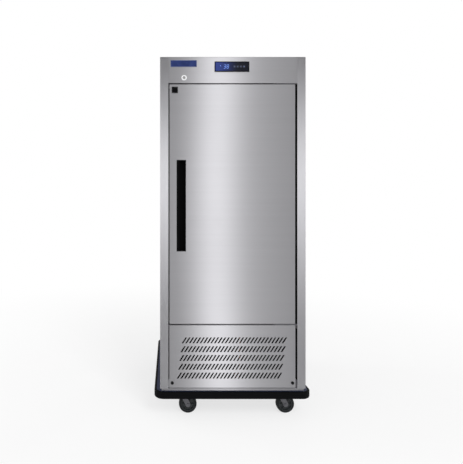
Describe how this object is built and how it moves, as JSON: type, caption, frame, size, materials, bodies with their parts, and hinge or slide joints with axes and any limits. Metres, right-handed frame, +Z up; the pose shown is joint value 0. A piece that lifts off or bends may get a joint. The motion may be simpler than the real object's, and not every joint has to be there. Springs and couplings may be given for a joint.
{
  "type": "upright refrigerator",
  "caption": "Upright stainless refrigerator with a recessed-handle door, header display and louvred machine compartment, on a bumpered base with swivel casters.",
  "frame": {"origin": "on the floor under the middle of the base", "axes": "+X to the viewer's right when facing the door, +Y from the door to the back, +Z up"},
  "size_m": [0.797, 0.832, 1.842],
  "materials": {
    "stainless": "satin",
    "foam": "matte",
    "liner_white": "satin",
    "breaker_grey": "satin",
    "black_steel": "satin",
    "dark_zinc": "satin",
    "zinc": "satin",
    "lock_white": "satin",
    "lock_chrome": "polished",
    "black_plastic": "satin",
    "window_blue": "gloss",
    "key_grey": "satin",
    "plate_blue": "gloss",
    "shelf_wire": "polished",
    "fin_aluminium": "satin",
    "condenser_black": "satin",
    "cover_grey": "satin",
    "fan_grey": "satin",
    "motor_grey": "satin",
    "drain_white": "satin",
    "lamp_white": "satin",
    "compressor_black": "satin",
    "copper": "satin",
    "pan_grey": "satin",
    "box_black": "satin",
    "cable_black": "matte",
    "frame_navy": "satin",
    "bumper_rubber": "matte",
    "wheel_grey": "satin",
    "gasket_grey": "matte",
    "badge_black": "gloss",
    "bush_white": "satin"
  },
  "bodies": {
    "cabinet": {"left_side_panel": "stainless", "right_side_panel": "stainless", "back_panel": "stainless", "top_panel": "stainless", "header_panel": "stainless", "base_pan": "stainless", "sill_panel": "stainless", "cabinet_foam": "foam", "inner_liner": "liner_white", "breaker_frame": "breaker_grey", "grille_panel": "stainless", "grille_screws": "black_steel", "hinge_brackets": "dark_zinc", "cabinet_screws": "zinc", "lock_barrel": "lock_white", "display_bezel": "black_plastic", "display_window": "window_blue", "name_plate": "plate_blue", "shelf_strips": "zinc", "shelf_clips": "zinc", "wire_shelves": "shelf_wire", "evaporator_coil": "fin_aluminium", "evaporator_cover": "cover_grey", "fan_motors": "motor_grey", "drain_tube": "drain_white", "interior_lamp": "lamp_white", "compressor": "compressor_black", "condenser_coil": "condenser_black", "condenser_shroud": "black_steel", "refrigerant_lines": "copper", "condensate_pan": "pan_grey", "electrical_box": "box_black", "power_inlet": "black_plastic", "wiring_harness": "cable_black", "base_frame": "frame_navy", "bumper": "bumper_rubber", "caster_plates": "zinc", "base_bolts": "zinc"},
    "door": {"door_skin": "stainless", "door_pan": "liner_white", "door_foam": "foam", "door_gasket": "gasket_grey", "door_handle": "black_plastic", "door_badge": "badge_black", "hinge_bushes": "bush_white"},
    "lock_plug": {"lock_plug": "lock_chrome"},
    "key_set": {"key_set": "key_grey"},
    "key_up": {"key_up": "key_grey"},
    "key_down": {"key_down": "key_grey"},
    "key_light": {"key_light": "key_grey"},
    "evaporator_fan": {"evaporator_fan": "fan_grey"},
    "condenser_fan": {"condenser_fan": "fan_grey"},
    "fork_front_left": {"fork_front_left": "dark_zinc"},
    "fork_front_right": {"fork_front_right": "dark_zinc"},
    "fork_rear_left": {"fork_rear_left": "dark_zinc"},
    "fork_rear_right": {"fork_rear_right": "dark_zinc"},
    "wheel_front_left": {"wheel_front_left": "wheel_grey"},
    "wheel_front_right": {"wheel_front_right": "wheel_grey"},
    "wheel_rear_left": {"wheel_rear_left": "wheel_grey"},
    "wheel_rear_right": {"wheel_rear_right": "wheel_grey"}
  },
  "joints": [
    {"name": "door_swing", "type": "hinge", "parent": "cabinet", "child": "door", "pos_m": [0.3005, -0.388, 1.0965], "axis": [0, 0, 1], "range_deg": [0, 110]},
    {"name": "lock_turn", "type": "hinge", "parent": "cabinet", "child": "lock_plug", "pos_m": [-0.2472, -0.384, 1.736], "axis": [0, 1, 0], "range_deg": [0, 90]},
    {"name": "evaporator_fan_spin", "type": "hinge", "parent": "cabinet", "child": "evaporator_fan", "pos_m": [0, -0.1, 1.659], "axis": [0, 0, 1], "continuous": true},
    {"name": "condenser_fan_spin", "type": "hinge", "parent": "cabinet", "child": "condenser_fan", "pos_m": [-0.14, -0.261, 0.311], "axis": [0, 1, 0], "continuous": true},
    {"name": "key_set_press", "type": "slide", "parent": "cabinet", "child": "key_set", "axis": [0, 1, 0], "range_m": [0, 0.001], "stiffness_N_per_m": 400, "springref_m": -0.0005},
    {"name": "key_up_press", "type": "slide", "parent": "cabinet", "child": "key_up", "axis": [0, 1, 0], "range_m": [0, 0.001], "stiffness_N_per_m": 400, "springref_m": -0.0005},
    {"name": "key_down_press", "type": "slide", "parent": "cabinet", "child": "key_down", "axis": [0, 1, 0], "range_m": [0, 0.001], "stiffness_N_per_m": 400, "springref_m": -0.0005},
    {"name": "key_light_press", "type": "slide", "parent": "cabinet", "child": "key_light", "axis": [0, 1, 0], "range_m": [0, 0.001], "stiffness_N_per_m": 400, "springref_m": -0.0005},
    {"name": "swivel_front_left", "type": "hinge", "parent": "cabinet", "child": "fork_front_left", "pos_m": [-0.257, -0.319, 0.1117], "axis": [0, 0, 1], "continuous": true},
    {"name": "roll_front_left", "type": "hinge", "parent": "fork_front_left", "child": "wheel_front_left", "pos_m": [-0.224, -0.319, 0.047], "axis": [0, 1, 0], "continuous": true},
    {"name": "swivel_front_right", "type": "hinge", "parent": "cabinet", "child": "fork_front_right", "pos_m": [0.257, -0.319, 0.1117], "axis": [0, 0, 1], "continuous": true},
    {"name": "roll_front_right", "type": "hinge", "parent": "fork_front_right", "child": "wheel_front_right", "pos_m": [0.29, -0.319, 0.047], "axis": [0, 1, 0], "continuous": true},
    {"name": "swivel_rear_left", "type": "hinge", "parent": "cabinet", "child": "fork_rear_left", "pos_m": [-0.257, 0.319, 0.1117], "axis": [0, 0, 1], "continuous": true},
    {"name": "roll_rear_left", "type": "hinge", "parent": "fork_rear_left", "child": "wheel_rear_left", "pos_m": [-0.224, 0.319, 0.047], "axis": [0, 1, 0], "continuous": true},
    {"name": "swivel_rear_right", "type": "hinge", "parent": "cabinet", "child": "fork_rear_right", "pos_m": [0.257, 0.319, 0.1117], "axis": [0, 0, 1], "continuous": true},
    {"name": "roll_rear_right", "type": "hinge", "parent": "fork_rear_right", "child": "wheel_rear_right", "pos_m": [0.29, 0.319, 0.047], "axis": [0, 1, 0], "continuous": true}
  ]
}
